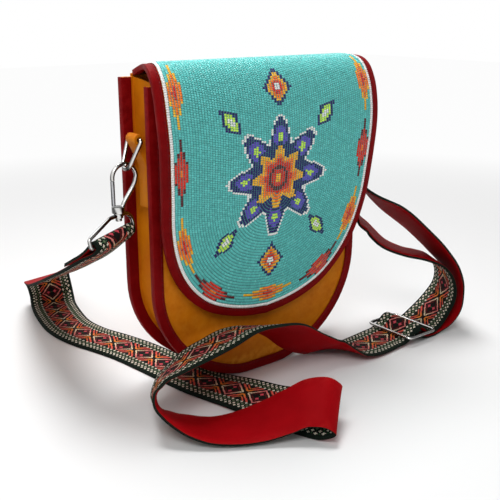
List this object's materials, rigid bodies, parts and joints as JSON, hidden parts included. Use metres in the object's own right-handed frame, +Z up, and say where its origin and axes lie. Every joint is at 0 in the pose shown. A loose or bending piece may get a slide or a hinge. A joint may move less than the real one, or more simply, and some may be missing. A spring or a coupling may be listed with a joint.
{
  "type": "beaded shoulder bag",
  "caption": "Flat leather shoulder bag with a rounded bottom, a beaded flap, side rings with snap hooks and a patterned woven strap.",
  "frame": {"origin": "on the flat foot of the front binding, at the middle of the bag's width, where the bag stands", "axes": "+Z up, -Y out of the front where the flap hangs, X across the bag"},
  "size_m": [0.3158, 0.3398, 0.2197],
  "materials": {
    "gold_leather": "satin, fine grain",
    "red_leather": "satin, fine grain",
    "turquoise_beads": "opaque glass, glossy",
    "white_beads": "opaque glass, glossy",
    "orange_beads": "opaque glass, glossy",
    "scarlet_beads": "opaque glass, glossy",
    "navy_beads": "opaque glass, glossy",
    "lime_beads": "opaque glass, glossy",
    "nickel": "polished nickel plate",
    "woven_strap": "patterned weave over a leather back"
  },
  "bodies": {
    "bag": {"gusset": "gold_leather", "back_panel": "gold_leather", "front_panel": "gold_leather", "back_binding": "red_leather", "front_binding": "red_leather", "left_tab": "gold_leather", "right_tab": "gold_leather", "left_eye": "nickel", "right_eye": "nickel", "slider": "nickel", "shoulder_strap": "woven_strap"},
    "flap": {"flap_panel": "gold_leather", "flap_binding": "red_leather", "bead_edging": "white_beads", "bead_field": "turquoise_beads", "motif_side_top_right": "orange_beads", "motif_side_top_left": "orange_beads", "motif_side_high_right": "scarlet_beads", "motif_side_high_left": "scarlet_beads", "motif_side_low_right": "orange_beads", "motif_side_low_left": "orange_beads", "motif_corner_right": "scarlet_beads", "motif_corner_left": "scarlet_beads", "motif_tip": "orange_beads", "star_eye": "scarlet_beads", "star_inner": "orange_beads", "star_outer": "navy_beads", "star_rim": "white_beads", "star_leaf_1": "lime_beads", "star_leaf_2": "lime_beads", "star_leaf_3": "lime_beads", "star_leaf_4": "lime_beads", "star_bud_top": "orange_beads", "star_bud_foot": "orange_beads"},
    "left_ring": {"left_ring": "nickel"},
    "right_ring": {"right_ring": "nickel"},
    "left_hook": {"left_hook": "nickel"},
    "right_hook": {"right_hook": "nickel"},
    "left_gate": {"left_gate": "nickel"},
    "right_gate": {"right_gate": "nickel"}
  },
  "joints": [
    {"name": "flap_hinge", "type": "hinge", "parent": "bag", "child": "flap", "pos_m": [0, 0.03195, 0.2114], "axis": [-1, 0, 0], "range_deg": [0, 150]},
    {"name": "left_ring_hinge", "type": "hinge", "parent": "bag", "child": "left_ring", "pos_m": [-0.0882, 0.0156, 0.1731], "axis": [0, 1, 0], "range_deg": [-7, 2]},
    {"name": "left_hook_swivel", "type": "hinge", "parent": "bag", "child": "left_hook", "pos_m": [-0.1021, 0.0156, 0.128], "axis": [0, 0, 1], "range_deg": [-5, 5]},
    {"name": "left_gate_hinge", "type": "hinge", "parent": "left_hook", "child": "left_gate", "pos_m": [-0.1053, 0.0156, 0.1342], "axis": [0, 1, 0], "range_deg": [0, 25], "stiffness_Nm_per_rad": 0.002},
    {"name": "right_ring_hinge", "type": "hinge", "parent": "bag", "child": "right_ring", "pos_m": [0.0882, 0.0156, 0.1731], "axis": [0, -1, 0], "range_deg": [-7, 2]},
    {"name": "right_hook_swivel", "type": "hinge", "parent": "bag", "child": "right_hook", "pos_m": [0.1021, 0.0156, 0.128], "axis": [0, 0, 1], "range_deg": [-5, 5]},
    {"name": "right_gate_hinge", "type": "hinge", "parent": "right_hook", "child": "right_gate", "pos_m": [0.1053, 0.0156, 0.1342], "axis": [0, -1, 0], "range_deg": [0, 25], "stiffness_Nm_per_rad": 0.002}
  ]
}
